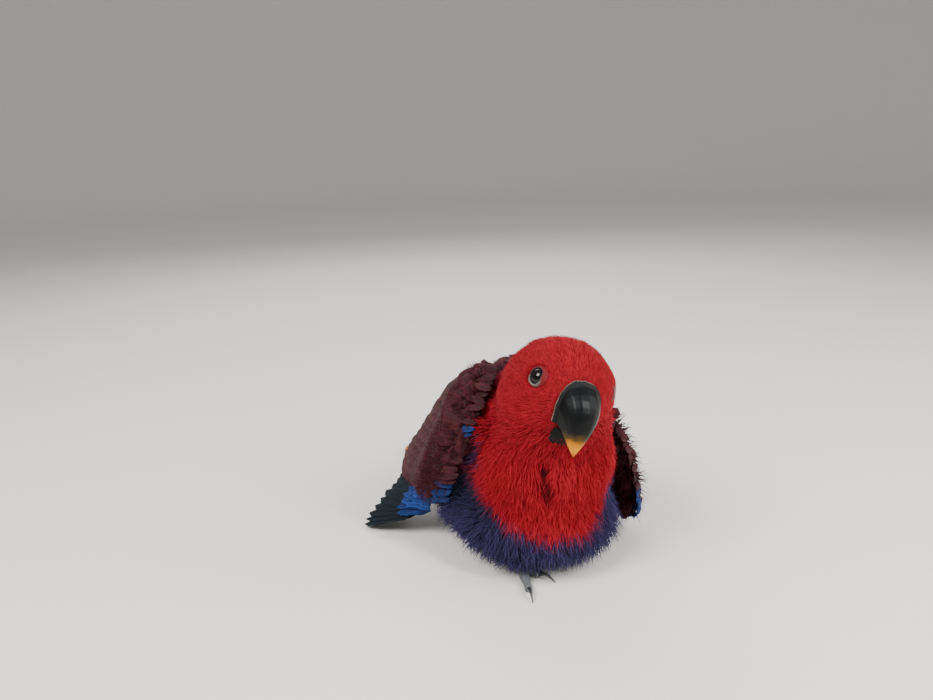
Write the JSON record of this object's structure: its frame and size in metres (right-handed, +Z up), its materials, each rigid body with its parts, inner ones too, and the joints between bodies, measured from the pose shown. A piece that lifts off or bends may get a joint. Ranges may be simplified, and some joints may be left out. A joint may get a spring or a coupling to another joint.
{
  "type": "eclectus parrot",
  "caption": "Young female eclectus parrot crouched on the ground, red head and breast, wings drooping, head tipped to its left.",
  "frame": {"origin": "on the floor, under the middle of the bird's own box", "axes": "+Z up; the bird's breast faces -Y and its tail points to +Y; its own left wing is on +X"},
  "size_m": [0.1524, 0.233, 0.1213],
  "materials": {
    "red_plumage": "matte",
    "violet_plumage": "matte",
    "maroon_plumage": "matte",
    "blue_plumage": "satin",
    "bill_horn": "gloss",
    "bare_skin": "matte",
    "eye": "gloss",
    "foot_skin": "matte",
    "claw_horn": "satin"
  },
  "bodies": {
    "root": {"head": "red_plumage", "neck": "red_plumage", "torso": "violet_plumage", "tail": "maroon_plumage", "bill_upper": "bill_horn", "bill_lower": "bill_horn", "cere": "bare_skin", "eye_right": "eye", "eye_left": "eye", "eyelid_right": "bare_skin", "eyelid_left": "bare_skin", "wing_right": "maroon_plumage", "wing_left": "maroon_plumage", "primaries_right": "blue_plumage", "primaries_left": "blue_plumage", "leg_right": "foot_skin", "leg_left": "foot_skin", "foot_right": "foot_skin", "foot_left": "foot_skin", "claw_right_1": "claw_horn", "claw_right_2": "claw_horn", "claw_right_3": "claw_horn", "claw_right_4": "claw_horn", "claw_left_1": "claw_horn", "claw_left_2": "claw_horn", "claw_left_3": "claw_horn", "claw_left_4": "claw_horn"}
  },
  "joints": []
}
